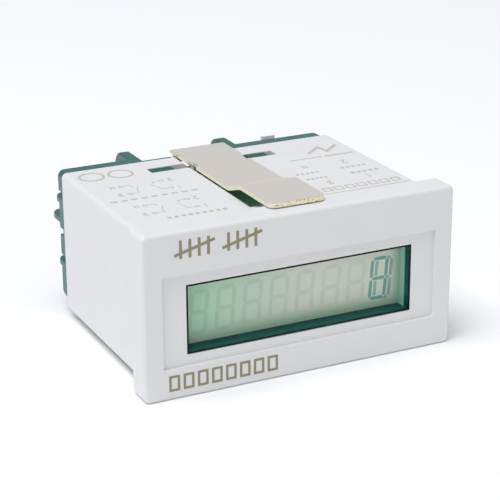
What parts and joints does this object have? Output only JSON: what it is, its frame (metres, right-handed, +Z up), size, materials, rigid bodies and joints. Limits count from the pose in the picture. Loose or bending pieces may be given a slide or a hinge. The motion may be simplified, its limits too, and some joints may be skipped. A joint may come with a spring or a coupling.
{
  "type": "panel-mount digital counter",
  "caption": "Flush panel-mount totalizing counter with a glass number display, a sliding steel mounting clip and rear clamp-screw terminals.",
  "frame": {"origin": "centre of the panel cut-out, in the plane where the back of the bezel meets the panel", "axes": "+X to the right seen from the front, +Y from the panel into the cabinet, +Z up"},
  "size_m": [0.048, 0.0431, 0.0248],
  "materials": {
    "white_case": "fine satin moulded",
    "clear_lens": "polished clear",
    "dark_frame": "glossy dark",
    "display_film": "antiglare film",
    "display_glass": "clear",
    "display_reflector": "frosted",
    "striped_rubber": "striped conductive",
    "board_laminate": "solder resist",
    "chip_resin": "cast resin",
    "bright_can": "bright",
    "ceramic": "fired ceramic",
    "resistor_black": "glazed",
    "battery_sleeve": "shrink sleeve",
    "nickel_sheet": "nickel plated",
    "chassis_plastic": "moulded",
    "terminal_plastic": "moulded",
    "screw_steel": "zinc plated",
    "spring_steel": "warm satin nickel"
  },
  "bodies": {
    "counter": {"front_case": "white_case", "window_lens": "clear_lens", "display_frame": "dark_frame", "lcd_front_polarizer": "display_film", "lcd_contact_glass": "display_glass", "lcd_back_glass": "display_glass", "lcd_reflector": "display_reflector", "contact_strip_upper": "striped_rubber", "contact_strip_lower": "striped_rubber", "main_board": "board_laminate", "counter_chip": "chip_resin", "timing_crystal": "bright_can", "chip_capacitors": "ceramic", "chip_resistors": "resistor_black", "battery_cell": "battery_sleeve", "battery_tab_negative": "nickel_sheet", "battery_tab_positive": "nickel_sheet", "inner_chassis": "chassis_plastic", "terminal_block": "terminal_plastic", "terminal_plate_1": "nickel_sheet", "terminal_plate_2": "nickel_sheet", "terminal_plate_3": "nickel_sheet", "terminal_plate_4": "nickel_sheet"},
    "clip": {"mounting_clip": "spring_steel"},
    "washer_1": {"clamp_washer_1": "nickel_sheet"},
    "washer_2": {"clamp_washer_2": "nickel_sheet"},
    "washer_3": {"clamp_washer_3": "nickel_sheet"},
    "washer_4": {"clamp_washer_4": "nickel_sheet"},
    "screw_1": {"terminal_screw_1": "screw_steel"},
    "screw_2": {"terminal_screw_2": "screw_steel"},
    "screw_3": {"terminal_screw_3": "screw_steel"},
    "screw_4": {"terminal_screw_4": "screw_steel"}
  },
  "joints": [
    {"name": "clip_slide", "type": "slide", "parent": "counter", "child": "clip", "axis": [0, 1, 0], "range_m": [0, 0.005]},
    {"name": "washer_lift_1", "type": "slide", "parent": "counter", "child": "washer_1", "axis": [0, 1, 0], "range_m": [0, 0.0024]},
    {"name": "screw_turn_1", "type": "hinge", "parent": "washer_1", "child": "screw_1", "pos_m": [-0.0163, 0.0337, -0.00085], "axis": [0, 1, 0], "range_deg": [0, 1728]},
    {"name": "washer_lift_2", "type": "slide", "parent": "counter", "child": "washer_2", "axis": [0, 1, 0], "range_m": [0, 0.0024]},
    {"name": "screw_turn_2", "type": "hinge", "parent": "washer_2", "child": "screw_2", "pos_m": [-0.0054, 0.0337, -0.00085], "axis": [0, 1, 0], "range_deg": [0, 1728]},
    {"name": "washer_lift_3", "type": "slide", "parent": "counter", "child": "washer_3", "axis": [0, 1, 0], "range_m": [0, 0.0024]},
    {"name": "screw_turn_3", "type": "hinge", "parent": "washer_3", "child": "screw_3", "pos_m": [0.0023, 0.0337, -0.00085], "axis": [0, 1, 0], "range_deg": [0, 1728]},
    {"name": "washer_lift_4", "type": "slide", "parent": "counter", "child": "washer_4", "axis": [0, 1, 0], "range_m": [0, 0.0024]},
    {"name": "screw_turn_4", "type": "hinge", "parent": "washer_4", "child": "screw_4", "pos_m": [0.0135, 0.0337, -0.00085], "axis": [0, 1, 0], "range_deg": [0, 1728]}
  ],
  "couplings": [
    {"joint": "screw_turn_1", "follows": "washer_lift_1", "rad_per_m": 12566},
    {"joint": "screw_turn_2", "follows": "washer_lift_2", "rad_per_m": 12566},
    {"joint": "screw_turn_3", "follows": "washer_lift_3", "rad_per_m": 12566},
    {"joint": "screw_turn_4", "follows": "washer_lift_4", "rad_per_m": 12566}
  ]
}
